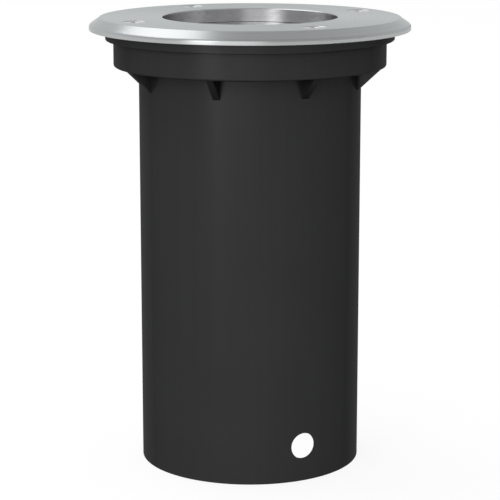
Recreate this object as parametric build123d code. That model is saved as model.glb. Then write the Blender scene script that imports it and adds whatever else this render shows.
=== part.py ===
from build123d import *
from math import atan2, cos, hypot, radians, tan
import os

# Round in-ground light: a steel cover ring and a glass over a lamp pot that hangs in a mounting sleeve.
# Millimetres, Z up along the light's axis, origin at the centre of the sleeve's bottom rim.
# The cable hole faces -Y, and the cover screws lie on the X and Y axes.

# Overall height, from the sleeve's bottom rim to the top of the cover ring
LIGHT_HEIGHT = 155.0

# Mounting sleeve
TUBE_DIAMETER = 76.4
TUBE_WALL = 1.8
COLLAR_WALL = 2.0
COLLAR_FLOOR = 2.2
COLLAR_EDGE_ROUND = 0.7
BOSS_DIAMETER = 8.4
SCREW_EDGE_DISTANCE = 3.3
GUSSET_COUNT = 8
GUSSET_THICKNESS = 2.4
GUSSET_DROP = 7.3
GUSSET_INSET = 0.8
CABLE_HOLE_DIAMETER = 9.0
CABLE_HOLE_HEIGHT = 12.3
CABLE_HOLE_CHAMFER = 0.9

# Threaded inserts in the sleeve's bosses
INSERT_DIAMETER = 5.6
INSERT_LENGTH = 6.5
INSERT_GROOVE = 0.5
INSERT_FIT = 0.02
INSERT_SINK = 0.1

# Cover ring
RING_THICKNESS = 4.25
RING_OVERHANG = 5.5
RING_BEVEL_WIDTH = 3.65
RING_BEVEL_DROP = 2.6
RING_NOSE_ROUND = 1.2
RING_EDGE_ROUND = 0.3
RING_FOOT_ROUND = 0.25
RING_BORE_CHAMFER = 0.3
RING_LIP_WIDTH = 1.4
RING_LIP_GAP = 0.1
FLANGE_RECESS = 0.25
RECESS_CLEARANCE = 0.3

# Cover screws, M4 countersunk with a hexagon socket
SCREW_COUNT = 4
SCREW_DIAMETER = 3.9
SCREW_LENGTH = 14.0
SCREW_SINK = 0.15
SCREW_TIP_CHAMFER = 0.5
SCREW_TIP_CLEARANCE = 1.0
COUNTERSINK_DIAMETER = 8.8
HEAD_CLEARANCE = 0.05
HEX_SOCKET = 2.5
HEX_DEPTH = 2.2
THREAD_CLEARANCE = 0.15
SCREW_HOLE_CLEARANCE = 0.35

# Glass and its gasket
GLASS_THICKNESS = 6.0
GLASS_CHAMFER = 0.5
GLASS_OVERLAP = 4.6
GLASS_FIT = 0.1
GASKET_WEB = 1.3
GASKET_TOP_LIP = 0.75
GASKET_BOTTOM_LIP = 1.05
GASKET_CLEARANCE = 0.3

# Lamp pot
POT_CLEARANCE = 1.0
POT_WALL = 2.4
POT_DRAFT = 0.6
POT_FLOOR = 2.6
POT_CORNER_ROUND = 3.0
LEDGE_WIDTH = 3.3
LEDGE_THICKNESS = 2.2
CUP_WALL = 2.5
CUP_CLEARANCE = 0.5
CUP_SEAT_GAP = 0.45
FLANGE_LIP = 2.7
FLANGE_THICKNESS = 3.6
FLANGE_EDGE_ROUND = 0.3
GLAND_BOSS_DIAMETER = 27.0
GLAND_BOSS_HEIGHT = 3.0

# Lamp with a two-pin bayonet base
LAMP_GAP = 5.25
LAMP_DIAMETER = 50.0
LAMP_BODY_LENGTH = 47.0
LAMP_RIM_HEIGHT = 4.0
LAMP_RIM_WALL = 1.4
LAMP_WAIST_DIAMETER = 31.0
LAMP_BASE_DIAMETER = 24.0
LAMP_BASE_HEIGHT = 9.0
LAMP_SHOULDER_HEIGHT = 5.0
LAMP_FIN_COUNT = 20
LAMP_FIN_GAP = 1.8
LAMP_FIN_DEPTH = 1.4
REFLECTOR_DEPTH = 14.0
REFLECTOR_MOUTH_DIAMETER = 42.0
LENS_THICKNESS = 2.2
LENS_DOME = 0.8
LENS_FIT = 0.1
BOARD_DIAMETER = 23.0
BOARD_THICKNESS = 1.4
CHIP_COUNT = 6
CHIP_SIZE = 3.0
CHIP_THICKNESS = 0.7
CHIP_CIRCLE_DIAMETER = 14.0
PIN_SPACING = 10.0
PIN_NECK_DIAMETER = 3.0
PIN_HEAD_DIAMETER = 4.9
PIN_HEAD_LENGTH = 2.4
PIN_EDGE_ROUND = 0.8
PIN_LENGTH = 7.0
PIN_CLEARANCE = 0.4
LAMP_TWIST = 30.0

# Lamp holder, its contacts and the screws that fix it
HOLDER_CLEARANCE = 0.3
HOLDER_HEIGHT = 16.0
HOLDER_DIAMETER = 25.0
HOLDER_EDGE_ROUND = 0.8
EAR_END = 3.5
EAR_WIDTH = 11.0
EAR_THICKNESS = 4.3
DRIVER_CLEARANCE = 0.2
CHAMBER_LENGTH = 9.0
CONTACT_WIDTH = 4.0
CONTACT_THICKNESS = 0.5
CONTACT_GAP = 0.3
CONTACT_BEND = 0.7
CONTACT_LUG_HEIGHT = 1.0
SMALL_SCREW_DIAMETER = 2.9
SMALL_SCREW_CLEARANCE = 0.25
SMALL_HEAD_DIAMETER = 5.5
SMALL_HEAD_HEIGHT = 2.0
SMALL_HEAD_ROUND = 0.8
SMALL_SLOT_WIDTH = 0.8
SMALL_SLOT_DEPTH = 0.9
NUT_WIDTH = 5.5
NUT_THICKNESS = 2.4
NUT_PROTRUSION = 0.8
NUT_CLEARANCE = 0.35
THREAD_FIT = 0.02

# Bracket that carries the lamp holder
BRACKET_SPAN = 41.6
BRACKET_WIDTH = 12.0
BRACKET_THICKNESS = 1.2
BRACKET_HEIGHT = 14.7
BRACKET_BEND = 1.6
FOOT_LENGTH = 7.4
FOOT_HOLE_OFFSET = 4.4
LEAD_SLOT_LENGTH = 18.0
LEAD_SLOT_WIDTH = 7.0
BRACKET_BOSS_DIAMETER = 6.6
BRACKET_BOSS_HEIGHT = 4.0
BRACKET_SCREW_REACH = 4.0
PILOT_DEPTH = 4.6

# Terminal block
POLE_COUNT = 3
POLE_PITCH = 10.0
POLE_WIDTH = 6.0
BLOCK_OFFSET = 13.0
BLOCK_DEPTH = 12.0
BLOCK_HEIGHT = 9.0
BLOCK_PAD_HEIGHT = 4.5
BLOCK_PAD_DIAMETER = 7.0
WEB_HEIGHT = 5.0
WEB_DEPTH = 6.0
CHIMNEY_DIAMETER = 5.0
CHIMNEY_HEIGHT = 4.0
CLAMP_TUBE_DIAMETER = 4.0
CLAMP_TUBE_BORE = 2.8
CLAMP_TUBE_HEIGHT = 4.5
CLAMP_TUBE_INSET = 1.0
CLAMP_TUBE_FIT = 0.05
CLAMP_SCREW_DIAMETER = 2.4
CLAMP_SCREW_SPACING = 6.0
CLAMP_SCREW_SINK = 1.2
CLAMP_SCREW_CLEARANCE = 0.3
CLAMP_SCREW_GAP = 0.1
FIXING_SCREW_DIAMETER = 2.4
FIXING_SCREW_LENGTH = 8.0
FIXING_HEAD_DIAMETER = 3.6
FIXING_HEAD_HEIGHT = 1.4
FIXING_HEAD_CLEARANCE = 0.15

# Leads and the earth tag
LEAD_DIAMETER = 2.2
LEAD_BEND = 8.0
LEAD_STRAIGHT = 1.0
LEAD_INSERTION = 3.0
EARTH_BEND = 2.8
EARTH_STRAIGHT = 0.4
TAG_DIAMETER = 6.0
TAG_THICKNESS = 0.6
TAG_BARREL_DIAMETER = 3.2
TAG_BARREL_START = 3.4
TAG_BARREL_LENGTH = 3.6

# Cable gland in the pot's floor
GLAND_THREAD_DIAMETER = 16.0
GLAND_HOLE_CLEARANCE = 0.2
GLAND_HEX = 22.0
GLAND_HEX_HEIGHT = 5.0
GLAND_NECK_LENGTH = 9.0
GLAND_BORE = 9.2
GLAND_WASHER_DIAMETER = 21.0
GLAND_WASHER_THICKNESS = 1.6
LOCKNUT_THICKNESS = 5.0
LOCKNUT_PROTRUSION = 1.5
LOCKNUT_FIT = 0.1
SEAL_WALL = 2.1
SEAL_BORE = 8.0
SEAL_LENGTH = 8.0
SEAL_FIT = 0.1
CAP_GAP = 0.6
CAP_HEX_HEIGHT = 8.5
CAP_ROOF = 3.5
CAP_DOME_INSET = 3.6
CAP_DOME_ROUND = 1.8
CAP_EXIT_DIAMETER = 10.0
CAP_FIT = 0.15

# Radii, from the sleeve's tube out to the rim of the cover ring
tube_radius = TUBE_DIAMETER / 2
tube_inner = tube_radius - TUBE_WALL
pot_radius = tube_inner - POT_CLEARANCE
pot_inner = pot_radius - POT_WALL
pocket_radius = pot_inner + LEDGE_WIDTH
gasket_radius = pocket_radius - GASKET_CLEARANCE
glass_radius = gasket_radius - GASKET_WEB - GLASS_FIT
bore_radius = glass_radius - GLASS_OVERLAP
cup_radius = pocket_radius + CUP_WALL
screw_circle = cup_radius + CUP_CLEARANCE + BOSS_DIAMETER / 2
collar_radius = screw_circle + SCREW_EDGE_DISTANCE
flange_radius = collar_radius + FLANGE_LIP
ring_radius = flange_radius + RING_OVERHANG

# Heights, from the top of the cover ring down to the collar
ring_top = LIGHT_HEIGHT
ring_land = ring_top - RING_THICKNESS
flange_top = ring_land + FLANGE_RECESS
collar_top = flange_top - FLANGE_THICKNESS
glass_top = flange_top - GASKET_TOP_LIP
lip_bottom = glass_top + RING_LIP_GAP
glass_bottom = glass_top - GLASS_THICKNESS
ledge_top = glass_bottom - GASKET_BOTTOM_LIP
ledge_bottom = ledge_top - LEDGE_THICKNESS
collar_floor_top = ledge_bottom - CUP_SEAT_GAP
collar_bottom = collar_floor_top - COLLAR_FLOOR
floor_middle = (collar_floor_top + collar_bottom) / 2
screw_top = ring_top - SCREW_SINK
screw_tip = screw_top - SCREW_LENGTH

# Heights, from the lamp down to the gland's cap
lamp_front = glass_bottom - LAMP_GAP
lamp_rim = lamp_front - LENS_DOME
lamp_base = lamp_front - LAMP_BODY_LENGTH
reflector_floor = lamp_rim - LENS_THICKNESS - REFLECTOR_DEPTH
pin_end = lamp_base - PIN_LENGTH
holder_top = lamp_base - HOLDER_CLEARANCE
holder_bottom = holder_top - HOLDER_HEIGHT
head_top = pin_end + PIN_HEAD_LENGTH
chamber_top = pin_end - CONTACT_GAP
bracket_foot = holder_bottom - BRACKET_HEIGHT
pot_floor = bracket_foot - BRACKET_BOSS_HEIGHT
pot_bottom = pot_floor - POT_FLOOR
gland_seat = pot_bottom - GLAND_BOSS_HEIGHT
gland_hex_top = gland_seat - GLAND_WASHER_THICKNESS
gland_hex_bottom = gland_hex_top - GLAND_HEX_HEIGHT
gland_end = gland_hex_bottom - GLAND_NECK_LENGTH
cap_top = gland_hex_bottom - CAP_GAP
cap_roof = gland_end - CAP_GAP

# Positions that several pieces share
bend_inside = BRACKET_BEND - BRACKET_THICKNESS / 2
nut_outside_x = BRACKET_SPAN / 2 - BRACKET_THICKNESS - bend_inside - NUT_CLEARANCE
ear_screw_x = nut_outside_x - NUT_WIDTH / 2
foot_screw_x = BRACKET_SPAN / 2 + FOOT_HOLE_OFFSET
block_centre_y = BLOCK_OFFSET + BLOCK_DEPTH / 2
block_bottom = pot_floor + BLOCK_PAD_HEIGHT
clamp_height = block_bottom + CLAMP_TUBE_HEIGHT
pole_places = [POLE_PITCH * (pole - (POLE_COUNT - 1) / 2) for pole in range(POLE_COUNT)]
fixing_places = [(left + right) / 2 for left, right in zip(pole_places, pole_places[1:])]
lug_underside = holder_bottom + CONTACT_LUG_HEIGHT - CONTACT_THICKNESS / 2
seal_radius = SEAL_BORE / 2 + SEAL_WALL


def turned(points, rounds=None):
    """Solid of revolution about Z from an outline of (radius, height) corners, some of them rounded."""
    rounds = rounds or {}
    corners = [(radius, 0, height) for radius, height in points]
    radii = [rounds.get(corner, 0) for corner in range(len(corners))]
    return revolve(make_face(FilletPolyline(*corners, radius=radii, close=True)), Axis.Z)


def upright(radius, low, high, x=0, y=0):
    """Cylinder along Z between two heights."""
    return Pos(x, y, (low + high) / 2) * Cylinder(radius, high - low)


def prism(sketch, low, high):
    """Sketch drawn on the XY plane, extruded between two heights."""
    return Pos(0, 0, low) * extrude(sketch, high - low)


def hexagon(width):
    """Hexagon by its width across flats, with flats facing Y."""
    return RegularPolygon(width / 2, 6, major_radius=False)


def turns(count):
    """Evenly spaced turns about Z."""
    return [Rot(0, 0, 360 * index / count) for index in range(count)]


def group(solid, places):
    """Copies of one solid at several places, as one node."""
    return Compound(children=[place * solid for place in places])


def swept(section, path, across):
    """Section swept along a path, its first direction laid along across."""
    return sweep(Plane(origin=path @ 0, x_dir=across, z_dir=path % 0) * section, path=path)


def small_screw(seat, reach):
    """Slotted pan-head screw, its head standing on the height seat."""
    top = seat + SMALL_HEAD_HEIGHT
    radius = SMALL_SCREW_DIAMETER / 2
    outline = [(0, seat - reach), (radius, seat - reach), (radius, seat)]
    outline += [(SMALL_HEAD_DIAMETER / 2, seat), (SMALL_HEAD_DIAMETER / 2, top), (0, top)]
    slot = Box(SMALL_HEAD_DIAMETER, SMALL_SLOT_WIDTH, 2 * SMALL_SLOT_DEPTH)
    return turned(outline, {4: SMALL_HEAD_ROUND}) - Pos(0, 0, top) * slot


def mounting_sleeve():
    shell = turned(
        [
            (tube_inner, 0),
            (tube_radius, 0),
            (tube_radius, collar_bottom),
            (collar_radius, collar_bottom),
            (collar_radius, collar_top),
            (collar_radius - COLLAR_WALL, collar_top),
            (collar_radius - COLLAR_WALL, collar_floor_top),
            (tube_inner, collar_floor_top),
        ],
        {3: COLLAR_EDGE_ROUND},
    )
    collar_outside = upright(collar_radius, floor_middle, collar_top)
    boss = upright(BOSS_DIAMETER / 2, floor_middle, collar_top, screw_circle)
    insert_hole = upright(
        INSERT_DIAMETER / 2 + INSERT_FIT, screw_tip - SCREW_TIP_CLEARANCE, collar_top, screw_circle
    )
    for turn in turns(SCREW_COUNT):
        shell += turn * (boss & collar_outside)
    for turn in turns(GUSSET_COUNT):
        shell += turn * gusset()
    for turn in turns(SCREW_COUNT):
        shell -= turn * insert_hole
    return shell - cable_hole()


def gusset():
    root = tube_radius - TUBE_WALL / 2
    tip = collar_radius - GUSSET_INSET
    outline = Polyline(
        (root, 0, floor_middle),
        (tip, 0, floor_middle),
        (tip, 0, collar_bottom),
        (tube_radius, 0, collar_bottom - GUSSET_DROP),
        (root, 0, collar_bottom - GUSSET_DROP),
        close=True,
    )
    return extrude(make_face(outline), GUSSET_THICKNESS / 2, dir=(0, 1, 0), both=True)


def cable_hole():
    """Hole through the -Y wall, opened out towards the inside so that it doesn't cut the cable."""
    radius = CABLE_HOLE_DIAMETER / 2
    out_of_wall = Pos(0, -tube_inner, CABLE_HOLE_HEIGHT) * Rot(90, 0, 0)
    hole = Cylinder(radius, tube_radius)
    depth = CABLE_HOLE_CHAMFER + TUBE_WALL
    flare = Pos(0, 0, CABLE_HOLE_CHAMFER - depth / 2) * Cone(radius + depth, radius, depth)
    return out_of_wall * (hole + flare)


def threaded_inserts():
    high = collar_top - INSERT_SINK
    low = high - INSERT_LENGTH
    outer = INSERT_DIAMETER / 2
    inner = SCREW_DIAMETER / 2 + THREAD_CLEARANCE
    third = INSERT_LENGTH / 3
    insert = turned(
        [
            (inner, low),
            (outer, low),
            (outer, low + third),
            (outer - INSERT_GROOVE, low + third),
            (outer - INSERT_GROOVE, high - third),
            (outer, high - third),
            (outer, high),
            (inner, high),
        ]
    )
    return group(Pos(screw_circle, 0, 0) * insert, turns(SCREW_COUNT))


def cover_ring():
    recess = flange_radius + RECESS_CLEARANCE
    ring = turned(
        [
            (bore_radius, lip_bottom),
            (bore_radius + RING_LIP_WIDTH, lip_bottom),
            (bore_radius + RING_LIP_WIDTH, flange_top),
            (recess, flange_top),
            (recess, ring_land),
            (ring_radius, ring_land),
            (ring_radius, ring_top - RING_BEVEL_DROP),
            (ring_radius - RING_BEVEL_WIDTH, ring_top),
            (bore_radius + RING_BORE_CHAMFER, ring_top),
            (bore_radius, ring_top - RING_BORE_CHAMFER),
        ],
        {5: RING_FOOT_ROUND, 6: RING_NOSE_ROUND, 7: RING_EDGE_ROUND},
    )
    hole = upright(SCREW_DIAMETER / 2 + SCREW_HOLE_CLEARANCE, ring_land, ring_top, screw_circle)
    depth = COUNTERSINK_DIAMETER / 2
    sink = Pos(screw_circle, 0, ring_top - depth / 2) * Cone(0, depth, depth)
    for turn in turns(SCREW_COUNT):
        ring -= turn * (hole + sink)
    return ring


def cover_screws():
    radius = SCREW_DIAMETER / 2
    head = COUNTERSINK_DIAMETER / 2 - SCREW_SINK - HEAD_CLEARANCE
    screw = turned(
        [
            (0, screw_tip),
            (radius - SCREW_TIP_CHAMFER, screw_tip),
            (radius, screw_tip + SCREW_TIP_CHAMFER),
            (radius, screw_top - (head - radius)),
            (head, screw_top),
            (0, screw_top),
        ]
    )
    screw -= prism(hexagon(HEX_SOCKET), screw_top - HEX_DEPTH, screw_top)
    return group(Pos(screw_circle, 0, 0) * screw, turns(SCREW_COUNT))


def glass_lens():
    edge = glass_radius - GLASS_CHAMFER
    return turned(
        [
            (0, glass_bottom),
            (edge, glass_bottom),
            (glass_radius, glass_bottom + GLASS_CHAMFER),
            (glass_radius, glass_top - GLASS_CHAMFER),
            (edge, glass_top),
            (0, glass_top),
        ]
    )


def glass_gasket():
    web = glass_radius + GLASS_FIT
    top_lip = bore_radius + RING_LIP_WIDTH + GASKET_CLEARANCE
    return turned(
        [
            (pot_inner + GASKET_CLEARANCE, ledge_top),
            (gasket_radius, ledge_top),
            (gasket_radius, flange_top),
            (top_lip, flange_top),
            (top_lip, glass_top),
            (web, glass_top),
            (web, glass_bottom),
            (pot_inner + GASKET_CLEARANCE, glass_bottom),
        ]
    )


def lamp_pot():
    pot = turned(
        [
            (pocket_radius, flange_top),
            (flange_radius, flange_top),
            (flange_radius, collar_top),
            (cup_radius, collar_top),
            (cup_radius, ledge_bottom),
            (pot_radius, ledge_bottom),
            (pot_radius - POT_DRAFT, pot_bottom),
            (GLAND_BOSS_DIAMETER / 2, pot_bottom),
            (GLAND_BOSS_DIAMETER / 2, gland_seat),
            (GLAND_THREAD_DIAMETER / 2 + GLAND_HOLE_CLEARANCE, gland_seat),
            (GLAND_THREAD_DIAMETER / 2 + GLAND_HOLE_CLEARANCE, pot_floor),
            (pot_inner - POT_DRAFT, pot_floor),
            (pot_inner, ledge_top),
            (pocket_radius, ledge_top),
        ],
        {1: FLANGE_EDGE_ROUND, 2: FLANGE_EDGE_ROUND, 6: POT_CORNER_ROUND},
    )
    hole = upright(SCREW_DIAMETER / 2 + SCREW_HOLE_CLEARANCE, collar_top, flange_top, screw_circle)
    for turn in turns(SCREW_COUNT):
        pot -= turn * hole
    for side in (-1, 1):
        pot += upright(BRACKET_BOSS_DIAMETER / 2, pot_floor, bracket_foot, side * foot_screw_x)
        pilot = SMALL_SCREW_DIAMETER / 2 + THREAD_FIT
        pot -= upright(pilot, bracket_foot - PILOT_DEPTH, bracket_foot, side * foot_screw_x)
    pilot = FIXING_SCREW_DIAMETER / 2 + THREAD_FIT
    pilot_end = block_bottom + WEB_HEIGHT - FIXING_SCREW_LENGTH
    for x in fixing_places:
        pot += upright(BLOCK_PAD_DIAMETER / 2, pot_floor, block_bottom, x, block_centre_y)
        pot -= upright(pilot, pilot_end, block_bottom, x, block_centre_y)
    return pot


def lamp_body():
    base = LAMP_BASE_DIAMETER / 2
    waist = LAMP_WAIST_DIAMETER / 2
    rim = LAMP_DIAMETER / 2
    shoulder = lamp_base + LAMP_BASE_HEIGHT + LAMP_SHOULDER_HEIGHT
    rim_foot = lamp_rim - LAMP_RIM_HEIGHT
    lens_seat = lamp_rim - LENS_THICKNESS
    body = turned(
        [
            (0, lamp_base),
            (base, lamp_base),
            (base, lamp_base + LAMP_BASE_HEIGHT),
            (waist, shoulder),
            (rim - LAMP_RIM_WALL / 2, rim_foot),
            (rim, rim_foot + LAMP_RIM_WALL / 2),
            (rim, lamp_rim),
            (rim - LAMP_RIM_WALL, lamp_rim),
            (rim - LAMP_RIM_WALL, lens_seat),
            (REFLECTOR_MOUTH_DIAMETER / 2, lens_seat),
            (BOARD_DIAMETER / 2 + LENS_FIT, reflector_floor),
            (0, reflector_floor),
        ]
    )
    groove = Polyline(
        (waist - LAMP_FIN_DEPTH, 0, shoulder),
        (rim, 0, shoulder),
        (rim, 0, rim_foot),
        (rim - LAMP_RIM_WALL / 2 - LAMP_FIN_DEPTH, 0, rim_foot),
        close=True,
    )
    groove = extrude(make_face(groove), LAMP_FIN_GAP / 2, dir=(0, 1, 0), both=True)
    for turn in turns(LAMP_FIN_COUNT):
        body -= turn * groove
    return body


def lamp_lens():
    radius = LAMP_DIAMETER / 2 - LAMP_RIM_WALL - LENS_FIT
    seat = lamp_rim - LENS_THICKNESS
    dome = ThreePointArc((-radius, 0, lamp_rim), (0, 0, lamp_front), (radius, 0, lamp_rim))
    outline = [
        Line((0, 0, lamp_front), (0, 0, seat)),
        Line((0, 0, seat), (radius, 0, seat)),
        Line((radius, 0, seat), (radius, 0, lamp_rim)),
        dome.trim(0.5, 1),
    ]
    return revolve(make_face(outline), Axis.Z)


def led_board():
    return upright(BOARD_DIAMETER / 2, reflector_floor, reflector_floor + BOARD_THICKNESS)


def led_chips():
    low = reflector_floor + BOARD_THICKNESS
    chip = Box(CHIP_SIZE, CHIP_SIZE, CHIP_THICKNESS)
    chip = Pos(CHIP_CIRCLE_DIAMETER / 2, 0, low + CHIP_THICKNESS / 2) * chip
    return group(chip, turns(CHIP_COUNT))


def lamp_pins():
    neck = PIN_NECK_DIAMETER / 2
    head = PIN_HEAD_DIAMETER / 2
    pin = turned(
        [
            (0, pin_end),
            (head, pin_end),
            (head, head_top),
            (neck, head_top),
            (neck, lamp_base),
            (0, lamp_base),
        ],
        {1: PIN_EDGE_ROUND},
    )
    return group(Pos(PIN_SPACING / 2, 0, 0) * pin, turns(2))


def bayonet_slot():
    """Room for one pin: a kidney slot for its neck, an entry hole and a wider track for its head."""
    track = CenterArc((0, 0), PIN_SPACING / 2, 0, LAMP_TWIST)
    neck_slot = SlotArc(track, PIN_NECK_DIAMETER + 2 * PIN_CLEARANCE)
    head_track = SlotArc(track, PIN_HEAD_DIAMETER + 2 * PIN_CLEARANCE)
    entry = Pos(*(track @ 1)) * Circle(PIN_HEAD_DIAMETER / 2 + PIN_CLEARANCE)
    plate_underside = head_top + PIN_CLEARANCE
    room = prism(neck_slot + entry, plate_underside, holder_top)
    return room + prism(head_track, chamber_top, plate_underside)


def lamp_holder():
    radius = HOLDER_DIAMETER / 2
    outline = [(0, holder_bottom), (radius, holder_bottom), (radius, holder_top), (0, holder_top)]
    holder = turned(outline, {2: HOLDER_EDGE_ROUND})
    ear_top = holder_bottom + EAR_THICKNESS
    holder += prism(SlotOverall(2 * (ear_screw_x + EAR_END), EAR_WIDTH), holder_bottom, ear_top)
    chamber = Rectangle(PIN_HEAD_DIAMETER + 2 * PIN_CLEARANCE, CHAMBER_LENGTH)
    chamber = prism(Pos(PIN_SPACING / 2, 0) * chamber, holder_bottom, chamber_top)
    hole = SMALL_SCREW_DIAMETER / 2 + SMALL_SCREW_CLEARANCE
    ear_hole = upright(hole, holder_bottom, ear_top, ear_screw_x)
    driver_way = upright(SMALL_HEAD_DIAMETER / 2 + DRIVER_CLEARANCE, ear_top, holder_top, ear_screw_x)
    for turn in turns(2):
        holder -= turn * bayonet_slot()
        holder -= turn * chamber
        holder -= turn * (ear_hole + driver_way)
    return holder


def holder_contacts():
    """Spring strips that press on the pins' heads and carry a lug for the lead below."""
    half = CHAMBER_LENGTH / 2 - CONTACT_THICKNESS
    low = holder_bottom + CONTACT_LUG_HEIGHT
    high = chamber_top - CONTACT_THICKNESS
    x = PIN_SPACING / 2
    path = FilletPolyline(
        (x, -half, low), (x, half, low), (x, half, high), (x, -half, high), radius=CONTACT_BEND
    )
    strip = swept(Rectangle(CONTACT_WIDTH, CONTACT_THICKNESS), path, (1, 0, 0))
    return group(strip, turns(2))


def holder_screws():
    seat = holder_bottom + EAR_THICKNESS
    reach = EAR_THICKNESS + BRACKET_THICKNESS + NUT_THICKNESS + NUT_PROTRUSION
    return group(Pos(ear_screw_x, 0, 0) * small_screw(seat, reach), turns(2))


def holder_nuts():
    high = holder_bottom - BRACKET_THICKNESS
    nut = prism(Rot(0, 0, 90) * hexagon(NUT_WIDTH), high - NUT_THICKNESS, high)
    nut -= upright(SMALL_SCREW_DIAMETER / 2 + THREAD_FIT, high - NUT_THICKNESS, high)
    return group(Pos(ear_screw_x, 0, 0) * nut, turns(2))


def holder_bracket():
    leg = BRACKET_SPAN / 2 - BRACKET_THICKNESS / 2
    toe = BRACKET_SPAN / 2 + FOOT_LENGTH
    low = bracket_foot + BRACKET_THICKNESS / 2
    high = holder_bottom - BRACKET_THICKNESS / 2
    path = FilletPolyline(
        (-toe, 0, low),
        (-leg, 0, low),
        (-leg, 0, high),
        (leg, 0, high),
        (leg, 0, low),
        (toe, 0, low),
        radius=BRACKET_BEND,
    )
    bracket = swept(Rectangle(BRACKET_WIDTH, BRACKET_THICKNESS), path, (0, 1, 0))
    plate = holder_bottom - BRACKET_THICKNESS
    bracket -= prism(SlotOverall(LEAD_SLOT_LENGTH, LEAD_SLOT_WIDTH), plate, holder_bottom)
    hole = SMALL_SCREW_DIAMETER / 2 + SMALL_SCREW_CLEARANCE
    for side in (-1, 1):
        bracket -= upright(hole, plate, holder_bottom, side * ear_screw_x)
        bracket -= upright(hole, bracket_foot, bracket_foot + BRACKET_THICKNESS, side * foot_screw_x)
    return bracket


def bracket_screws():
    """One screw stands on the bracket's foot, the other on the earth tag that it clamps there."""
    foot = bracket_foot + BRACKET_THICKNESS
    reach = BRACKET_THICKNESS + BRACKET_SCREW_REACH
    plain = Pos(-foot_screw_x, 0, 0) * small_screw(foot, reach)
    earth = Pos(foot_screw_x, 0, 0) * small_screw(foot + TAG_THICKNESS, reach + TAG_THICKNESS)
    return Compound(children=[plain, earth])


def terminal_block():
    middle = POLE_PITCH * (POLE_COUNT - 1)
    top = block_bottom + BLOCK_HEIGHT
    web_top = block_bottom + WEB_HEIGHT
    web = Box(middle, WEB_DEPTH, WEB_HEIGHT)
    block = Pos(0, block_centre_y, block_bottom + WEB_HEIGHT / 2) * web
    for x in pole_places:
        pole = Box(POLE_WIDTH, BLOCK_DEPTH, BLOCK_HEIGHT)
        block += Pos(x, block_centre_y, block_bottom + BLOCK_HEIGHT / 2) * pole
        for y in clamp_places():
            block += upright(CHIMNEY_DIAMETER / 2, top, top + CHIMNEY_HEIGHT, x, y)
    for x in pole_places:
        tunnel = Cylinder(CLAMP_TUBE_DIAMETER / 2 + CLAMP_TUBE_FIT, BLOCK_DEPTH)
        block -= Pos(x, block_centre_y, clamp_height) * Rot(90, 0, 0) * tunnel
        for y in clamp_places():
            shaft = CLAMP_SCREW_DIAMETER / 2 + CLAMP_SCREW_CLEARANCE
            block -= upright(shaft, clamp_height, top + CHIMNEY_HEIGHT, x, y)
    hole = FIXING_SCREW_DIAMETER / 2 + THREAD_FIT
    head = FIXING_HEAD_DIAMETER / 2 + FIXING_HEAD_CLEARANCE
    for x in fixing_places:
        block -= upright(hole, block_bottom, web_top, x, block_centre_y)
        block -= upright(head, web_top, top, x, block_centre_y)
    return block


def clamp_places():
    return [block_centre_y - CLAMP_SCREW_SPACING / 2, block_centre_y + CLAMP_SCREW_SPACING / 2]


def terminal_tubes():
    length = BLOCK_DEPTH - 2 * CLAMP_TUBE_INSET
    along = Pos(0, block_centre_y, clamp_height) * Rot(90, 0, 0)
    tube = along * (Cylinder(CLAMP_TUBE_DIAMETER / 2, length) - Cylinder(CLAMP_TUBE_BORE / 2, length))
    for y in clamp_places():
        thread = CLAMP_SCREW_DIAMETER / 2 + THREAD_FIT
        tube -= upright(thread, clamp_height, clamp_height + CLAMP_TUBE_DIAMETER, 0, y)
    return group(tube, [Pos(x, 0, 0) for x in pole_places])


def terminal_screws():
    top = block_bottom + BLOCK_HEIGHT + CHIMNEY_HEIGHT - CLAMP_SCREW_SINK
    tip = clamp_height + LEAD_DIAMETER / 2 + CLAMP_SCREW_GAP
    screw = upright(CLAMP_SCREW_DIAMETER / 2, tip, top)
    screw -= Pos(0, 0, top) * Box(CLAMP_SCREW_DIAMETER, SMALL_SLOT_WIDTH, 2 * SMALL_SLOT_DEPTH)
    return group(screw, [Pos(x, y, 0) for x in pole_places for y in clamp_places()])


def terminal_fixing_screws():
    seat = block_bottom + WEB_HEIGHT
    screw = upright(FIXING_SCREW_DIAMETER / 2, seat - FIXING_SCREW_LENGTH, seat)
    head = upright(FIXING_HEAD_DIAMETER / 2, seat, seat + FIXING_HEAD_HEIGHT)
    slot = Box(FIXING_HEAD_DIAMETER, SMALL_SLOT_WIDTH, FIXING_HEAD_HEIGHT)
    screw += head - Pos(0, 0, seat + FIXING_HEAD_HEIGHT) * slot
    return group(screw, [Pos(x, block_centre_y, 0) for x in fixing_places])


def lamp_leads():
    """One lead from each contact's lug, through the bracket and round into its terminal."""
    leads = []
    end = BLOCK_OFFSET + CLAMP_TUBE_INSET + LEAD_INSERTION
    drop = lug_underside - clamp_height
    reach = BLOCK_OFFSET - LEAD_INSERTION
    for x, pole in ((-PIN_SPACING / 2, 0), (PIN_SPACING / 2, 1)):
        aside = pole_places[pole] - x
        half_turn = atan2(abs(aside), reach) / 2
        room = (hypot(aside, reach) - LEAD_STRAIGHT) / (1 + tan(half_turn))
        path = FilletPolyline(
            (x, 0, lug_underside),
            (x, 0, clamp_height),
            (pole_places[pole], reach, clamp_height),
            (pole_places[pole], end, clamp_height),
            radius=min(LEAD_BEND, drop - LEAD_STRAIGHT, room),
        )
        leads.append(swept(Circle(LEAD_DIAMETER / 2), path, (1, 0, 0)))
    return Compound(children=leads)


def tag_axis_height():
    return bracket_foot + BRACKET_THICKNESS + TAG_BARREL_DIAMETER / 2


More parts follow.
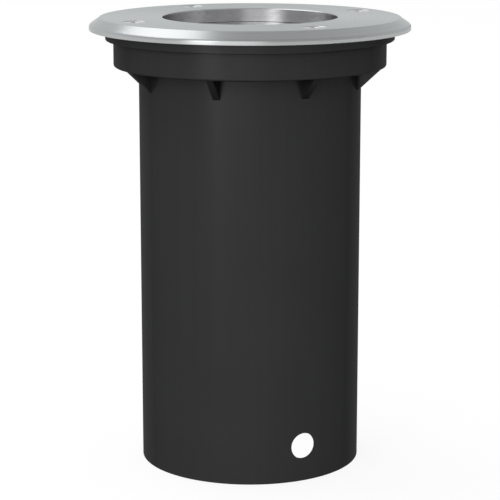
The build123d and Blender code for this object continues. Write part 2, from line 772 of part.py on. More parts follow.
def earth_tag():
    low = bracket_foot + BRACKET_THICKNESS
    plate = upright(TAG_DIAMETER / 2, low, low + TAG_THICKNESS)
    barrel = Cylinder(TAG_BARREL_DIAMETER / 2, TAG_BARREL_LENGTH)
    barrel_centre = TAG_BARREL_START + TAG_BARREL_LENGTH / 2
    barrel = Pos(0, barrel_centre, tag_axis_height()) * Rot(90, 0, 0) * barrel
    neck = Pos(0, TAG_BARREL_START, low + TAG_THICKNESS / 2)
    neck *= Box(TAG_BARREL_DIAMETER / 2, TAG_BARREL_LENGTH, TAG_THICKNESS)
    tag = plate + barrel + neck
    tag -= upright(SMALL_SCREW_DIAMETER / 2 + SMALL_SCREW_CLEARANCE, low, low + TAG_THICKNESS)
    return Pos(foot_screw_x, 0, 0) * tag


def earth_lead():
    """From the last terminal round the bracket's leg to the tag on its foot."""
    x = pole_places[-1]
    tag_end = TAG_BARREL_START + TAG_BARREL_LENGTH
    turn_y = tag_end + EARTH_BEND + EARTH_STRAIGHT
    path = FilletPolyline(
        (x, BLOCK_OFFSET + CLAMP_TUBE_INSET + LEAD_INSERTION, clamp_height),
        (x, turn_y, clamp_height),
        (foot_screw_x, turn_y, tag_axis_height()),
        (foot_screw_x, tag_end, tag_axis_height()),
        radius=EARTH_BEND,
    )
    return swept(Circle(LEAD_DIAMETER / 2), path, (1, 0, 0))


def gland_body():
    thread = GLAND_THREAD_DIAMETER / 2
    body = upright(thread, gland_end, pot_floor + LOCKNUT_THICKNESS + LOCKNUT_PROTRUSION)
    body += prism(hexagon(GLAND_HEX), gland_hex_bottom, gland_hex_top)
    body -= upright(GLAND_BORE / 2, gland_end, pot_floor + LOCKNUT_THICKNESS + LOCKNUT_PROTRUSION)
    return body - upright(seal_radius + SEAL_FIT, gland_end, gland_end + SEAL_LENGTH)


def gland_washer():
    inner = GLAND_THREAD_DIAMETER / 2 + GLAND_HOLE_CLEARANCE
    washer = upright(GLAND_WASHER_DIAMETER / 2, gland_hex_top, gland_seat)
    return washer - upright(inner, gland_hex_top, gland_seat)


def gland_locknut():
    nut = prism(hexagon(GLAND_HEX), pot_floor, pot_floor + LOCKNUT_THICKNESS)
    return nut - upright(GLAND_THREAD_DIAMETER / 2 + LOCKNUT_FIT, pot_floor, pot_floor + LOCKNUT_THICKNESS)


def gland_seal():
    low = gland_end
    high = gland_end + SEAL_LENGTH
    return upright(seal_radius, low, high) - upright(SEAL_BORE / 2, low, high)


def gland_cap():
    corner = GLAND_HEX / 2 / cos(radians(30))
    low = cap_roof - CAP_ROOF
    hex_low = cap_top - CAP_HEX_HEIGHT
    dome = turned(
        [(0, low), (corner - CAP_DOME_INSET, low), (corner, hex_low), (corner, cap_top), (0, cap_top)],
        {1: CAP_DOME_ROUND},
    )
    cap = prism(hexagon(GLAND_HEX), low, cap_top) & dome
    cap -= upright(GLAND_THREAD_DIAMETER / 2 + CAP_FIT, cap_roof, cap_top)
    return cap - upright(CAP_EXIT_DIAMETER / 2, low, cap_roof)


NODES = [
    mounting_sleeve,
    threaded_inserts,
    cover_ring,
    cover_screws,
    glass_lens,
    glass_gasket,
    lamp_pot,
    lamp_body,
    lamp_lens,
    led_board,
    led_chips,
    lamp_pins,
    lamp_holder,
    holder_contacts,
    holder_screws,
    holder_nuts,
    holder_bracket,
    bracket_screws,
    terminal_block,
    terminal_tubes,
    terminal_screws,
    terminal_fixing_screws,
    lamp_leads,
    earth_tag,
    earth_lead,
    gland_body,
    gland_washer,
    gland_locknut,
    gland_seal,
    gland_cap,
]

os.makedirs("parts", exist_ok=True)
for node in NODES:
    export_step(node(), f"parts/{node.__name__}.step")
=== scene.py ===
import math

import bpy
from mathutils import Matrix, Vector


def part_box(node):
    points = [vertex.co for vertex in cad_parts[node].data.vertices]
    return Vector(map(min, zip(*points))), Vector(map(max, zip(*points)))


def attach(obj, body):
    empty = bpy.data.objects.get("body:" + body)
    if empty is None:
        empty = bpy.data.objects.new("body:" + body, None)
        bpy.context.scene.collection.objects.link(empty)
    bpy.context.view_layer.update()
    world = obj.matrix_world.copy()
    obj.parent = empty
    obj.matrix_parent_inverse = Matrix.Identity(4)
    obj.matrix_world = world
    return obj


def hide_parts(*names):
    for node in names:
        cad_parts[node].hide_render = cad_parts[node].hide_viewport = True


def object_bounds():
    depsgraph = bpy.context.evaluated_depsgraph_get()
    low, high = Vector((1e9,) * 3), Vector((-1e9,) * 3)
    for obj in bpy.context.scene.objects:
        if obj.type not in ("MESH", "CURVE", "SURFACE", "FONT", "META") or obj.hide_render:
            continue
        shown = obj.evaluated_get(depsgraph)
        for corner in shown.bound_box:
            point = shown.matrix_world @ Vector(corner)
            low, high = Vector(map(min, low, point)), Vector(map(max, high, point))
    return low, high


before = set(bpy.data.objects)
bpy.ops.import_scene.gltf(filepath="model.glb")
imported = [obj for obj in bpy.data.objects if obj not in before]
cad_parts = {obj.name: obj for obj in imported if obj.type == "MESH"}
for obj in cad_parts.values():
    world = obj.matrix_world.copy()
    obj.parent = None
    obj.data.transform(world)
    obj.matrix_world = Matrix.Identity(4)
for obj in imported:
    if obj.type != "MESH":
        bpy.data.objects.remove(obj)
cad_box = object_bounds()
middle = (cad_box[0] + cad_box[1]) / 2

# Camera, at the photograph's angle: metres and degrees, and millimetres for the lens and the sensor
CAMERA_AZIMUTH = -28.4
CAMERA_DISTANCE = 0.664
CAMERA_HEIGHT = 0.2168
CAMERA_PITCH = 12.2
CAMERA_LENS = 139.5
SENSOR_WIDTH = 36.0

# Floor: large and pale, open under the sleeve so that its inside is lit from below as well, in metres.
# It glows by a share where it is seen directly, and sends little light back onto the object.
FLOOR_RADIUS = 15.0
FLOOR_HOLE_RADIUS = 0.038
FLOOR_SIDES = 96
FLOOR_COLOUR = (0.90, 0.90, 0.89, 1.0)
FLOOR_BOUNCE = (0.06, 0.06, 0.06, 1.0)
FLOOR_GLOW = 1.08
FLOOR_GLOW_SHARE = 0.8

# Sky: white at the horizon and up to a height of its unit dome, and grey overhead. It is dimmer on the side
# away from its bright azimuth, which is counted in degrees from the camera's to the right.
SKY_HORIZON = (1.0, 1.0, 1.0, 1.0)
SKY_ZENITH = (0.72, 0.73, 0.74, 1.0)
SKY_WHITE_UNTIL = 0.25
SKY_BRIGHT_AZIMUTH = -165.0
SKY_DIM_SIDE = 0.55

# Softboxes: place to the camera's right, behind the light and above its middle, then width and height,
# all in metres. A level one hangs overhead and faces the floor, another faces the light.
SOFTBOXES = {
    "key_front_left": {"place": (-0.62, -0.92, 0.27), "size": (0.36, 0.9), "radiance": 1.85},
    "front_fill": {"place": (-0.35, -1.4, 0.35), "size": (1.2, 1.0), "radiance": 0.9},
    "ceiling_back_left": {"place": (-0.62, 0.55, 1.15), "size": (0.68, 1.35), "radiance": 1.6, "level": True},
}

# Cover screws, M4 countersunk with a hexagon socket: metres, and degrees for what counts as a sharp edge
SCREW_COUNT = 4
SCREW_HEAD_RADIUS = 0.0042
SCREW_THREAD_RADIUS = 0.00195
SCREW_THREAD_DEPTH = 0.00038
SCREW_PITCH = 0.0007
SCREW_NECK = 0.0012
SCREW_SOCKET_WIDTH = 0.0025
SCREW_SOCKET_DEPTH = 0.0022
SCREW_SOCKET_CHAMFER = 0.0002
SCREW_SOCKET_CONE = SCREW_SOCKET_WIDTH / 6
SCREW_EDGE = 0.00012
SCREW_TIP = 0.0005
SCREW_SIDES = 36
SCREW_ROWS_PER_PITCH = 6
SCREW_SHARP_ANGLE = 32.0

# Mesh attribute that holds each point's coordinates from the axis of its own screw
SCREW_PLACE = "screw_place"

# The ring's bore, which is turned and not brushed and coloured brighter than the ring as painted reflected
# light, in metres
RING_BORE_RADIUS = 0.03
RING_BORE_EDGE = 0.0003

# Share of the light that steel still sends back at a grazing angle, slightly cool
GRAZING_TINT = (0.75, 0.78, 0.78, 1.0)

# Share of a textured plastic's gloss that is left once it is turned this far from the eye, 1 being edge-on
GRAZING_GLOSS = 0.19
GRAZING_FROM = 0.55

# Worn edges: cosine between a rounded and the true normal at which wear is full and at which it ends,
# samples for the rounding, and patches per metre that break the wear up
WEAR_FULL = 0.75
WEAR_END = 0.985
WEAR_SAMPLES = 6
WEAR_PATCHES = 900.0

# Tints of the passivation film on zinc, and of the bloom on rubber
FILM_BLUE = (0.55, 0.6, 0.68)
FILM_STRAW = (0.7, 0.66, 0.52)
RUBBER_BLOOM = (0.3, 0.3, 0.3)

# Direction that the earth lead's stripe faces, and the cosines at which it begins and is full
STRIPE_SIDE = (0.7, 0.2, 0.68)
STRIPE_BEGIN = 0.62
STRIPE_FULL = 0.66

# Range in which most values of a noise pattern lie
NOISE_LOW = 0.3
NOISE_HIGH = 0.7

# Sockets of a Mix node by number, because those for numbers and for colours share their names:
# the share, the first and the second value, and the result
MIX_NUMBER_INPUTS = (0, 2, 3)
MIX_NUMBER_OUTPUT = 0
MIX_COLOUR_INPUTS = (0, 6, 7)
MIX_COLOUR_OUTPUT = 2


# Nodes of a material

def feed(tree, socket, value):
    """A socket takes a link from another socket, or a constant."""
    if isinstance(value, bpy.types.NodeSocket):
        tree.links.new(value, socket)
    else:
        socket.default_value = value


def add(tree, kind, inputs=None, **settings):
    """One shader node with its settings and inputs."""
    node = tree.nodes.new("ShaderNode" + kind)
    for name, value in settings.items():
        setattr(node, name, value)
    for name, value in (inputs or {}).items():
        feed(tree, node.inputs[name], value)
    return node


def surface(name, **inputs):
    """A new Principled material, its node tree and its shader, with constants on the shader's sockets."""
    material = bpy.data.materials.new(name)
    material.use_nodes = True
    shader = material.node_tree.nodes["Principled BSDF"]
    for socket, value in inputs.items():
        shader.inputs[socket.replace("_", " ")].default_value = value
    return material, material.node_tree, shader


def position(tree):
    """Coordinates of the object in metres."""
    return add(tree, "TexCoord").outputs["Object"]


def normal(tree):
    """The surface's own direction."""
    return add(tree, "NewGeometry").outputs["Normal"]


def stretched(tree, per_metre):
    """Coordinates scaled along each axis, so that a pattern is finer or longer that way."""
    return add(tree, "Mapping", {"Vector": position(tree), "Scale": per_metre}).outputs["Vector"]


def noise(tree, per_metre=1.0, detail=2.0, vector=None):
    """A cloudy pattern, laid on the object's coordinates or on others."""
    inputs = {"Vector": vector or position(tree), "Scale": per_metre, "Detail": detail}
    return add(tree, "TexNoise", inputs).outputs["Fac"]


def cells(tree, per_metre, feature="F1", output="Distance"):
    """A scattered pattern: distance to its nearest point or to the edge of its cell, or the cell's colour."""
    inputs = {"Vector": position(tree), "Scale": per_metre}
    return add(tree, "TexVoronoi", inputs, feature=feature).outputs[output]


def waves(tree, per_metre, distortion, vector):
    """Parallel bands on a slant through all three axes, bent a little."""
    inputs = {"Vector": vector, "Scale": per_metre, "Distortion": distortion}
    return add(tree, "TexWave", inputs, bands_direction="DIAGONAL").outputs["Fac"]


def spread(tree, value, low=0.0, high=1.0, start=0.0, end=1.0):
    """A pattern's range start to end, laid onto low to high."""
    inputs = {"Value": value, "From Min": start, "From Max": end, "To Min": low, "To Max": high}
    return add(tree, "MapRange", inputs).outputs["Result"]


def math_node(tree, operation, first, second=0.0):
    """One operation on one or two numbers."""
    return add(tree, "Math", {0: first, 1: second}, operation=operation).outputs["Value"]


def product(tree, first, second):
    """Two numbers multiplied."""
    return math_node(tree, "MULTIPLY", first, second)


def vector_math(tree, operation, first, second=(0.0, 0.0, 0.0)):
    """One operation on one or two vectors that gives a number."""
    return add(tree, "VectorMath", {0: first, 1: second}, operation=operation).outputs["Value"]


def mixed(tree, share, first, second):
    """Colour between two colours."""
    inputs = dict(zip(MIX_COLOUR_INPUTS, (share, first, second)))
    return add(tree, "Mix", inputs, data_type="RGBA").outputs[MIX_COLOUR_OUTPUT]


def mixed_value(tree, share, first, second):
    """Number between two numbers."""
    inputs = dict(zip(MIX_NUMBER_INPUTS, (share, first, second)))
    return add(tree, "Mix", inputs).outputs[MIX_NUMBER_OUTPUT]


def mixed_shader(tree, share, first, second):
    """Shader between two shaders."""
    return add(tree, "MixShader", {0: share, 1: first, 2: second}).outputs[0]


def bumped(tree, shader, height, depth):
    """A height pattern of 0 to 1 becomes a relief that is depth metres deep, under any coat and on it."""
    relief = add(tree, "Bump", {"Height": height, "Distance": depth}).outputs[0]
    feed(tree, shader.inputs["Normal"], relief)
    feed(tree, shader.inputs["Coat Normal"], relief)


def polar(tree, across, around, along, vector=None):
    """Coordinates round the Z axis: radius, angle and height, each with its own scale."""
    x, y, z = add(tree, "SeparateXYZ", {0: vector or position(tree)}).outputs
    radius = vector_math(tree, "LENGTH", add(tree, "CombineXYZ", {0: x, 1: y}).outputs[0])
    angle = math_node(tree, "ARCTAN2", y, x)
    scales = ((radius, across), (angle, around), (z, along))
    scaled = [product(tree, value, scale) for value, scale in scales]
    return add(tree, "CombineXYZ", dict(enumerate(scaled))).outputs[0]


def edges(tree, width):
    """1 along the edges, falling to 0 within a width in metres."""
    rounded = add(tree, "Bevel", {"Radius": width}, samples=WEAR_SAMPLES).outputs["Normal"]
    cosine = vector_math(tree, "DOT_PRODUCT", rounded, normal(tree))
    return spread(tree, cosine, low=1.0, high=0.0, start=WEAR_FULL, end=WEAR_END)


def shade(colour, factor=1.0):
    """A colour made lighter or darker by a factor, with the fourth channel that sockets take."""
    return tuple(channel * factor for channel in colour) + (1.0,)


def varied(tree, shader, pattern, colour, change, roughness, play):
    """A pattern varies the colour by a share and the roughness by an amount. Returns the colour."""
    tint = mixed(tree, pattern, shade(colour, 1 - change), shade(colour, 1 + change))
    feed(tree, shader.inputs["Base Color"], tint)
    rough = spread(tree, pattern, roughness - play, roughness + play, start=NOISE_LOW, end=NOISE_HIGH)
    feed(tree, shader.inputs["Roughness"], rough)
    return tint


def rubbed(tree, shader, tint, worn, width, amount):
    """Edges within a width, broken up by noise, take a share of the worn colour."""
    mask = product(tree, edges(tree, width), noise(tree, WEAR_PATCHES, detail=3.0))
    share = product(tree, mask, amount)
    feed(tree, shader.inputs["Base Color"], mixed(tree, share, tint, worn))


# Plastics and rubbers

def moulded_plastic(name, colour, roughness, gloss):
    """A fine spark texture, soft changes of gloss, faint draw lines along Z and slightly paler edges.
    The texture's own small shadows take most of the gloss away at a grazing angle."""
    material, tree, shader = surface(name, Specular_IOR_Level=0.0, Coat_Weight=gloss, Coat_Roughness=0.26)
    facing = add(tree, "LayerWeight").outputs["Facing"]
    fading = spread(tree, facing, low=gloss, high=gloss * GRAZING_GLOSS, end=GRAZING_FROM)
    feed(tree, shader.inputs["Coat Weight"], fading)
    drawn = noise(tree, vector=stretched(tree, per_metre=(420.0, 420.0, 9.0)))
    clouds = noise(tree, per_metre=38.0, detail=3.0)
    pattern = mixed_value(tree, share=0.35, first=clouds, second=drawn)
    tint = varied(tree, shader, pattern, colour, change=0.2, roughness=roughness, play=0.05)
    rubbed(tree, shader, tint, shade(colour, 2.2), width=0.0004, amount=0.35)
    bumped(tree, shader, noise(tree, per_metre=2600.0, detail=1.0), depth=0.00002)
    return material


def soft_rubber(name, colour, dust):
    """Rubber with a matte skin, small pores and a pale bloom in patches."""
    material, tree, shader = surface(name, Specular_IOR_Level=0.25)
    bloom = spread(tree, noise(tree, per_metre=140.0, detail=5.0), high=dust, start=0.5, end=0.8)
    feed(tree, shader.inputs["Base Color"], mixed(tree, bloom, shade(colour), shade(RUBBER_BLOOM)))
    feed(tree, shader.inputs["Roughness"], spread(tree, bloom, low=0.55, high=0.85))
    bumped(tree, shader, cells(tree, per_metre=2200.0), depth=0.00003)
    return material


def milky_plastic(name, colour, roughness, glow):
    """Uncoloured plastic that lets light in a little, with flow marks from its mould."""
    material, tree, shader = surface(name, Subsurface_Weight=glow, Subsurface_Scale=0.002)
    flow = noise(tree, per_metre=90.0, detail=4.0, vector=stretched(tree, per_metre=(1.0, 1.0, 2.5)))
    varied(tree, shader, flow, colour, change=0.05, roughness=roughness, play=0.07)
    bumped(tree, shader, noise(tree, per_metre=1500.0), depth=0.00001)
    return material


def braided_lead(name, colour):
    """A glass-silk lead: two families of threads that cross each other."""
    material, tree, shader = surface(name, Specular_IOR_Level=0.3)
    slants = [stretched(tree, per_metre=(way, 1.0, 1.0)) for way in (1.0, -1.0)]
    families = [waves(tree, per_metre=420.0, distortion=0.4, vector=slant) for slant in slants]
    braid = math_node(tree, "MAXIMUM", *families)
    varied(tree, shader, braid, colour, change=0.22, roughness=0.6, play=0.1)
    bumped(tree, shader, braid, depth=0.00012)
    return material


def striped_lead(name, stripe, ground):
    """Earth wire insulation: one colour on two opposite sides, the other between them."""
    material, tree, shader = surface(name, Specular_IOR_Level=0.4)
    side = math_node(tree, "ABSOLUTE", vector_math(tree, "DOT_PRODUCT", normal(tree), STRIPE_SIDE))
    share = spread(tree, side, start=STRIPE_BEGIN, end=STRIPE_FULL)
    feed(tree, shader.inputs["Base Color"], mixed(tree, share, shade(ground), shade(stripe)))
    feed(tree, shader.inputs["Roughness"], spread(tree, noise(tree, per_metre=300.0), low=0.35, high=0.5))
    bumped(tree, shader, noise(tree, per_metre=700.0), depth=0.00004)
    return material


# Metals

def brushed_steel(name, colour, roughness, bore):
    """Stainless steel brushed round the Z axis, with a brighter line along its edges and a turned bore whose
    brighter colour is painted reflected light.
    """
    material, tree, shader = surface(
        name, Metallic=1.0, Specular_Tint=GRAZING_TINT, Anisotropic=0.5, Anisotropic_Rotation=0.25
    )
    fine = noise(tree, vector=polar(tree, across=5200.0, around=6.0, along=5200.0))
    broad = noise(tree, detail=3.0, vector=polar(tree, across=1500.0, around=1.5, along=1500.0))
    grain = mixed_value(tree, share=0.6, first=fine, second=broad)
    brushed = varied(tree, shader, grain, colour, change=0.1, roughness=roughness, play=0.03)
    # The bore takes a brighter, slightly cooler copy of the steel's colour: its turned grain is real, the
    # extra brightness is painted reflected light
    turned_painted_bright = mixed(tree, grain, shade(bore, 0.9), shade(bore, 1.1))
    radius = vector_math(tree, "LENGTH", stretched(tree, per_metre=(1.0, 1.0, 0.0)))
    bore_end = RING_BORE_RADIUS + RING_BORE_EDGE
    inside = spread(tree, radius, low=1.0, high=0.0, start=RING_BORE_RADIUS, end=bore_end)
    tint = mixed(tree, inside, brushed, turned_painted_bright)
    rubbed(tree, shader, tint, shade(colour, 1.3), width=0.0002, amount=0.5)
    round_z = add(tree, "Tangent", direction_type="RADIAL", axis="Z").outputs[0]
    feed(tree, shader.inputs["Tangent"], round_z)
    bumped(tree, shader, fine, depth=0.0000015)
    return material


def turned_metal(name, colour, roughness):
    """Metal turned round its own axis, from which the mesh keeps coordinates: fine rings of tool marks."""
    material, tree, shader = surface(name, Metallic=1.0)
    own = add(tree, "Attribute", attribute_name=SCREW_PLACE).outputs["Vector"]
    rings = noise(tree, detail=1.0, vector=polar(tree, across=9000.0, around=0.6, along=2500.0, vector=own))
    clouds = noise(tree, per_metre=1600.0, detail=3.0)
    pattern = mixed_value(tree, share=0.3, first=rings, second=clouds)
    tint = varied(tree, shader, pattern, colour, change=0.12, roughness=roughness, play=0.07)
    rubbed(tree, shader, tint, shade(colour, 1.25), width=0.00015, amount=0.7)
    bumped(tree, shader, rings, depth=0.000004)
    return material


def drawn_metal(name, colour, roughness, tarnish, stains=0.25):
    """Drawn or stamped metal: fine lines, a few stains of another tint and bright rubbed edges."""
    material, tree, shader = surface(name, Metallic=1.0)
    lines = noise(tree, vector=stretched(tree, per_metre=(900.0, 2600.0, 900.0)))
    clean = varied(tree, shader, lines, colour, change=0.1, roughness=roughness, play=0.08)
    stain = spread(tree, noise(tree, per_metre=220.0, detail=5.0), high=stains, start=0.5, end=0.75)
    tint = mixed(tree, stain, clean, shade(tarnish))
    rubbed(tree, shader, tint, shade(colour, 1.2), width=0.0002, amount=0.6)
    bumped(tree, shader, lines, depth=0.000006)
    return material


def passivated_zinc(name, colour, roughness):
    """Spangled zinc plate under a thin passivation film, whose tint drifts between blue and straw."""
    material, tree, shader = surface(name, Metallic=1.0)
    drift = spread(tree, noise(tree, per_metre=130.0, detail=3.0), start=0.35, end=0.65)
    film = mixed(tree, drift, shade(FILM_BLUE), shade(FILM_STRAW))
    spangle = cells(tree, per_metre=700.0, output="Color")
    grey = add(tree, "SeparateColor", {"Color": spangle}).outputs["Red"]
    tint = mixed(tree, spread(tree, grey, low=0.25, high=0.55), shade(colour), film)
    rubbed(tree, shader, tint, shade(colour, 1.25), width=0.0002, amount=0.5)
    feed(tree, shader.inputs["Roughness"], spread(tree, grey, low=roughness - 0.06, high=roughness + 0.08))
    bumped(tree, shader, noise(tree, per_metre=2400.0), depth=0.000006)
    return material


# Glass, ceramic and the lamp

def lets_lamps_through(material, tint):
    """Rays from lamps pass the glass, so that what lies behind it is lit."""
    tree = material.node_tree
    shader = tree.nodes["Principled BSDF"].outputs[0]
    lamp_ray = add(tree, "LightPath").outputs["Is Shadow Ray"]
    clear = add(tree, "BsdfTransparent", {"Color": tint}).outputs[0]
    both = mixed_shader(tree, lamp_ray, shader, clear)
    feed(tree, tree.nodes["Material Output"].inputs["Surface"], both)


def clear_glass(name, tint):
    """Toughened glass with a hard gloss, dulled a very little in soft patches."""
    material, tree, shader = surface(
        name, Base_Color=tint, Transmission_Weight=1.0, IOR=1.5, Coat_Weight=1.0, Coat_Roughness=0.02
    )
    patches = spread(tree, noise(tree, per_metre=60.0, detail=3.0), high=0.02, start=0.35, end=0.75)
    feed(tree, shader.inputs["Roughness"], patches)
    lets_lamps_through(material, tint)
    return material


def frosted_lens(name, tint):
    """Clear acrylic with a fine satin etch."""
    material, tree, shader = surface(name, Base_Color=tint, Transmission_Weight=1.0, IOR=1.49)
    etch = noise(tree, per_metre=900.0)
    feed(tree, shader.inputs["Roughness"], spread(tree, etch, low=0.12, high=0.26))
    bumped(tree, shader, etch, depth=0.00001)
    lets_lamps_through(material, tint)
    return material


def glazed_ceramic(name, colour):
    """Steatite under a thin glaze: faint darker speckles and a soft orange peel."""
    material, tree, shader = surface(
        name, Coat_Weight=0.6, Coat_Roughness=0.12, Subsurface_Weight=0.1, Subsurface_Scale=0.001
    )
    peel = noise(tree, per_metre=240.0)
    plain = mixed(tree, peel, shade(colour, 0.96), shade(colour, 1.03))
    speckle = spread(tree, cells(tree, per_metre=620.0), start=0.05, end=0.3)
    feed(tree, shader.inputs["Base Color"], mixed(tree, speckle, shade(colour, 0.9), plain))
    rough = spread(tree, peel, low=0.3, high=0.5, start=NOISE_LOW, end=NOISE_HIGH)
    feed(tree, shader.inputs["Roughness"], rough)
    bumped(tree, shader, peel, depth=0.00003)
    return material


def coated_board(name, colour):
    """Circuit board: fields of copper with grooves between them, a faint relief under a white mask."""
    material, tree, shader = surface(name, Coat_Weight=0.3, Coat_Roughness=0.2)
    fields = spread(tree, cells(tree, per_metre=260.0, feature="DISTANCE_TO_EDGE"), start=0.08, end=0.12)
    feed(tree, shader.inputs["Base Color"], mixed(tree, fields, shade(colour, 0.86), shade(colour)))
    feed(tree, shader.inputs["Roughness"], spread(tree, noise(tree, per_metre=800.0), low=0.35, high=0.55))
    bumped(tree, shader, fields, depth=0.00004)
    return material


def phosphor_gel(name, colour):
    """Silicone gel filled with yellow phosphor grains."""
    material, tree, shader = surface(name, Subsurface_Weight=0.4, Subsurface_Scale=0.0006, Coat_Weight=0.7)
    grains = cells(tree, per_metre=5200.0)
    varied(tree, shader, grains, colour, change=0.18, roughness=0.35, play=0.05)
    bumped(tree, shader, grains, depth=0.00001)
    return material


# Finishes of the CAD model's material slots

finishes = {}


def finish(slot, maker, **look):
    """The finish of one slot: its maker, with the colours and numbers that the maker takes."""
    finishes[slot] = maker(slot + "_finish", **look)


def dress():
    """Every CAD piece takes its slots' finishes."""
    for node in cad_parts.values():
        for slot in node.material_slots:
            slot.material = finishes[slot.material.name.split(".")[0]]


finish("sleeve_plastic", moulded_plastic, colour=(0.0345, 0.0348, 0.035), roughness=0.8, gloss=0.42)
finish("pot_plastic", moulded_plastic, colour=(0.032, 0.0322, 0.0325), roughness=0.75, gloss=0.46)
# The bore's colour is lighter than the ring's as painted reflected light
finish("ring_steel", brushed_steel, colour=(0.45, 0.462, 0.462), roughness=0.29, bore=(0.515, 0.51, 0.525))
finish("screw_steel", turned_metal, colour=(0.43, 0.44, 0.44), roughness=0.29)
finish("insert_brass", drawn_metal, colour=(0.72, 0.52, 0.22), roughness=0.3, tarnish=(0.35, 0.22, 0.1))
finish("clear_glass", clear_glass, tint=(0.94, 0.97, 0.96, 1.0))
finish("gasket_silicone", soft_rubber, colour=(0.06, 0.06, 0.061), dust=0.06)
finish("lamp_white", milky_plastic, colour=(0.78, 0.78, 0.76), roughness=0.45, glow=0.05)
finish("lens_clear", frosted_lens, tint=(0.97, 0.98, 0.98, 1.0))
finish("board_white", coated_board, colour=(0.82, 0.83, 0.82))
finish("chip_phosphor", phosphor_gel, colour=(0.85, 0.62, 0.12))
finish("pin_nickel", drawn_metal, colour=(0.62, 0.6, 0.55), roughness=0.22, tarnish=(0.4, 0.38, 0.33))
finish("holder_ceramic", glazed_ceramic, colour=(0.76, 0.74, 0.69))
finish(
    "contact_bronze", drawn_metal,
    colour=(0.6, 0.38, 0.2), roughness=0.3, tarnish=(0.3, 0.16, 0.09), stains=0.4,
)
finish("bracket_zinc", passivated_zinc, colour=(0.62, 0.63, 0.64), roughness=0.34)
finish("fixing_zinc", passivated_zinc, colour=(0.58, 0.59, 0.6), roughness=0.28)
finish("block_nylon", milky_plastic, colour=(0.72, 0.71, 0.66), roughness=0.5, glow=0.3)
finish("clamp_brass", drawn_metal, colour=(0.7, 0.53, 0.26), roughness=0.26, tarnish=(0.4, 0.27, 0.13))
finish("lead_silicone", braided_lead, colour=(0.62, 0.6, 0.55))
finish("earth_sleeving", striped_lead, stripe=(0.75, 0.6, 0.03), ground=(0.03, 0.27, 0.06))
finish("tag_tin", drawn_metal, colour=(0.6, 0.6, 0.58), roughness=0.38, tarnish=(0.42, 0.41, 0.38))
finish("gland_nylon", moulded_plastic, colour=(0.024, 0.024, 0.025), roughness=0.7, gloss=0.75)
finish("gland_rubber", soft_rubber, colour=(0.028, 0.028, 0.028), dust=0.12)


# Rings of points, and meshes made of them

def circle(radius):
    """A circle's radius, the same at every angle."""
    return lambda angle: radius


def hexagon(width):
    """Radius of a hexagon's outline at an angle, from its width across the flats."""
    sector = math.pi / 3
    return lambda angle: width / 2 / math.cos(angle % sector - sector / 2)


def thread(height):
    """Radius of a screw thread at an angle, for one height: a wedge that climbs one pitch a turn."""
    def radius_at(angle):
        phase = (height / SCREW_PITCH - angle / (2 * math.pi)) % 1.0
        return SCREW_THREAD_RADIUS - SCREW_THREAD_DEPTH * abs(2 * phase - 1)
    return radius_at


def ring_of(sides, radius_at, height):
    """One closed ring of points, its radius a function of the angle."""
    angles = [2 * math.pi * side / sides for side in range(sides)]
    return [(radius_at(a) * math.cos(a), radius_at(a) * math.sin(a), height) for a in angles]


def bridged(sides, count, start=0):
    """Faces between neighbouring rings, from the index of the first ring's first point."""
    lows = [start + row * sides for row in range(count - 1)]
    pairs = [(side, (side + 1) % sides) for side in range(sides)]
    return [(low + a, low + b, low + sides + b, low + sides + a) for low in lows for a, b in pairs]


def into_scene(name, data):
    """A new object that holds a mesh, a lamp or a camera, linked to the scene."""
    thing = bpy.data.objects.new(name, data)
    bpy.context.scene.collection.objects.link(thing)
    return thing


# Cover screws with their threads

def screw_rings(tip, top):
    """Rings of one cover screw from its tip up over its head and down into its socket."""
    head_bottom = top - (SCREW_HEAD_RADIUS - SCREW_THREAD_RADIUS)
    thread_start = tip + SCREW_TIP
    row_height = SCREW_PITCH / SCREW_ROWS_PER_PITCH
    rows = round((head_bottom - SCREW_NECK - thread_start) / row_height)
    heights = [thread_start + row * row_height for row in range(rows + 1)]
    socket_bottom = top - SCREW_SOCKET_DEPTH
    outline = [(circle(SCREW_THREAD_RADIUS - SCREW_TIP), tip)]
    outline += [(thread(height), height) for height in heights]
    outline += [
        (circle(SCREW_THREAD_RADIUS), head_bottom),
        (circle(SCREW_HEAD_RADIUS), top - SCREW_EDGE),
        (circle(SCREW_HEAD_RADIUS - SCREW_EDGE), top),
        (hexagon(SCREW_SOCKET_WIDTH + 2 * SCREW_SOCKET_CHAMFER), top),
        (hexagon(SCREW_SOCKET_WIDTH), top - SCREW_SOCKET_CHAMFER),
        (hexagon(SCREW_SOCKET_WIDTH), socket_bottom),
        (circle(SCREW_EDGE), socket_bottom - SCREW_SOCKET_CONE),
    ]
    return [ring_of(SCREW_SIDES, radius_at, height) for radius_at, height in outline]


def screw_faces(count, start):
    """Faces of one screw with this many rings: one that closes its tip, its side and its socket's bottom."""
    last = start + (count - 1) * SCREW_SIDES
    tip = list(reversed(range(start, start + SCREW_SIDES)))
    bottom = list(range(last, last + SCREW_SIDES))
    return [tip] + bridged(SCREW_SIDES, count, start) + [bottom]


def screw_mesh(tip, top, circle_radius):
    """Mesh of all cover screws, on a circle round the Z axis."""
    rings = screw_rings(tip, top)
    own = [point for ring in rings for point in ring]
    points, faces = [], []
    for index in range(SCREW_COUNT):
        turn = 2 * math.pi * index / SCREW_COUNT
        axis = Vector((circle_radius * math.cos(turn), circle_radius * math.sin(turn), 0))
        faces += screw_faces(len(rings), len(points))
        points += [Vector(point) + axis for point in own]
    mesh = bpy.data.meshes.new("cover_screws_threaded")
    mesh.from_pydata(points, [], faces)
    places = mesh.attributes.new(SCREW_PLACE, "FLOAT_VECTOR", "POINT")
    places.data.foreach_set("vector", [number for point in own * SCREW_COUNT for number in point])
    mesh.shade_smooth()
    mesh.set_sharp_from_angle(angle=math.radians(SCREW_SHARP_ANGLE))
    return mesh


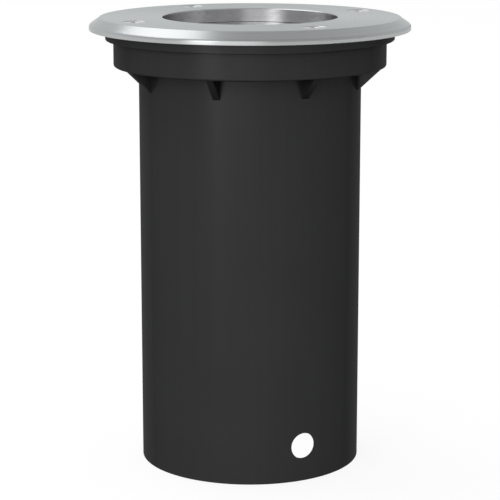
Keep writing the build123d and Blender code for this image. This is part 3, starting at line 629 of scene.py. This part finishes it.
def cut_cover_screws():
    """The cover screws with real threads and sockets, in place of their plain solids."""
    low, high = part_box("cover_screws")
    mesh = screw_mesh(low.z, high.z, high.x - SCREW_HEAD_RADIUS)
    mesh.materials.append(finishes["screw_steel"])
    screws = into_scene("cover_screws_threaded", mesh)
    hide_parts("cover_screws")
    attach(screws, "cover")


# Stage, light and camera

def towards(azimuth):
    """Level direction from the Z axis to what stands at an azimuth, in degrees round from the -Y axis."""
    turn = math.radians(azimuth)
    return Vector((math.sin(turn), -math.cos(turn), 0))


def from_camera(right, back, up):
    """Point near the light, counted to the camera's right, away from the camera and up from its middle."""
    sideways = towards(CAMERA_AZIMUTH + 90)
    away = towards(CAMERA_AZIMUTH + 180)
    return middle + right * sideways + back * away + Vector((0, 0, up))


def softbox(name, place, size, radiance, level=False):
    """One rectangular lamp that the camera doesn't see."""
    lamp = bpy.data.lights.new(name, "AREA")
    lamp.shape = "RECTANGLE"
    lamp.size, lamp.size_y = size
    lamp.energy = radiance * math.pi * lamp.size * lamp.size_y
    light = into_scene(name, lamp)
    light.location = from_camera(*place)
    light.visible_camera = False
    if level:
        light.rotation_euler.z = math.radians(CAMERA_AZIMUTH)
    else:
        light.rotation_euler = (middle - light.location).to_track_quat("-Z", "Y").to_euler()


def seen_directly(tree):
    """1 for camera, glossy and transmission rays, 0 for the light that the floor sends back."""
    rays = add(tree, "LightPath").outputs
    seen = math_node(tree, "MAXIMUM", rays["Is Camera Ray"], rays["Is Glossy Ray"])
    return math_node(tree, "MAXIMUM", seen, rays["Is Transmission Ray"])


def floor_material():
    """White from above with the light's shadow on it, and clear from below."""
    material = bpy.data.materials.new("floor_white")
    material.use_nodes = True
    tree = material.node_tree
    tree.nodes.remove(tree.nodes["Principled BSDF"])
    colour = mixed(tree, seen_directly(tree), FLOOR_BOUNCE, FLOOR_COLOUR)
    matte = add(tree, "BsdfDiffuse", {"Color": colour}).outputs[0]
    glow = add(tree, "Emission", {"Strength": FLOOR_GLOW}).outputs[0]
    above = mixed_shader(tree, product(tree, seen_directly(tree), FLOOR_GLOW_SHARE), matte, glow)
    below = add(tree, "BsdfTransparent").outputs[0]
    underside = add(tree, "NewGeometry").outputs["Backfacing"]
    both = mixed_shader(tree, underside, above, below)
    feed(tree, tree.nodes["Material Output"].inputs["Surface"], both)
    return material


def lay_floor():
    """The floor under the light, its faces turned up."""
    radii = (FLOOR_RADIUS, FLOOR_HOLE_RADIUS)
    points = [point for radius in radii for point in ring_of(FLOOR_SIDES, circle(radius), 0.0)]
    mesh = bpy.data.meshes.new("floor")
    mesh.from_pydata(points, [], bridged(FLOOR_SIDES, len(radii)))
    mesh.materials.append(floor_material())
    floor = into_scene("floor", mesh)
    floor.location.z = cad_box[0].z


def light_sky():
    """The sky's colour changes with height, and its strength with the side."""
    world = bpy.data.worlds.new("studio_sky")
    bpy.context.scene.world = world
    world.use_nodes = True
    tree = world.node_tree
    direction = add(tree, "TexCoord").outputs["Generated"]
    height = add(tree, "SeparateXYZ", {"Vector": direction}).outputs["Z"]
    share = spread(tree, height, start=SKY_WHITE_UNTIL)
    side = vector_math(tree, "DOT_PRODUCT", direction, towards(CAMERA_AZIMUTH + SKY_BRIGHT_AZIMUTH))
    background = tree.nodes["Background"].inputs
    feed(tree, background["Color"], mixed(tree, share, SKY_HORIZON, SKY_ZENITH))
    feed(tree, background["Strength"], spread(tree, side, low=SKY_DIM_SIDE, start=-1.0))


def place_camera():
    """The camera looks down at the light from the photograph's side."""
    data = bpy.data.cameras.new("camera")
    data.lens = CAMERA_LENS
    data.sensor_width = SENSOR_WIDTH
    camera = into_scene("camera", data)
    camera.location = CAMERA_DISTANCE * towards(CAMERA_AZIMUTH) + Vector((0, 0, CAMERA_HEIGHT))
    camera.rotation_euler = (math.radians(90 - CAMERA_PITCH), 0, math.radians(CAMERA_AZIMUTH))
    bpy.context.scene.camera = camera


bpy.context.scene.view_settings.view_transform = "Standard"
dress()
cut_cover_screws()
lay_floor()
light_sky()
for name, settings in SOFTBOXES.items():
    softbox(name, **settings)
place_camera()
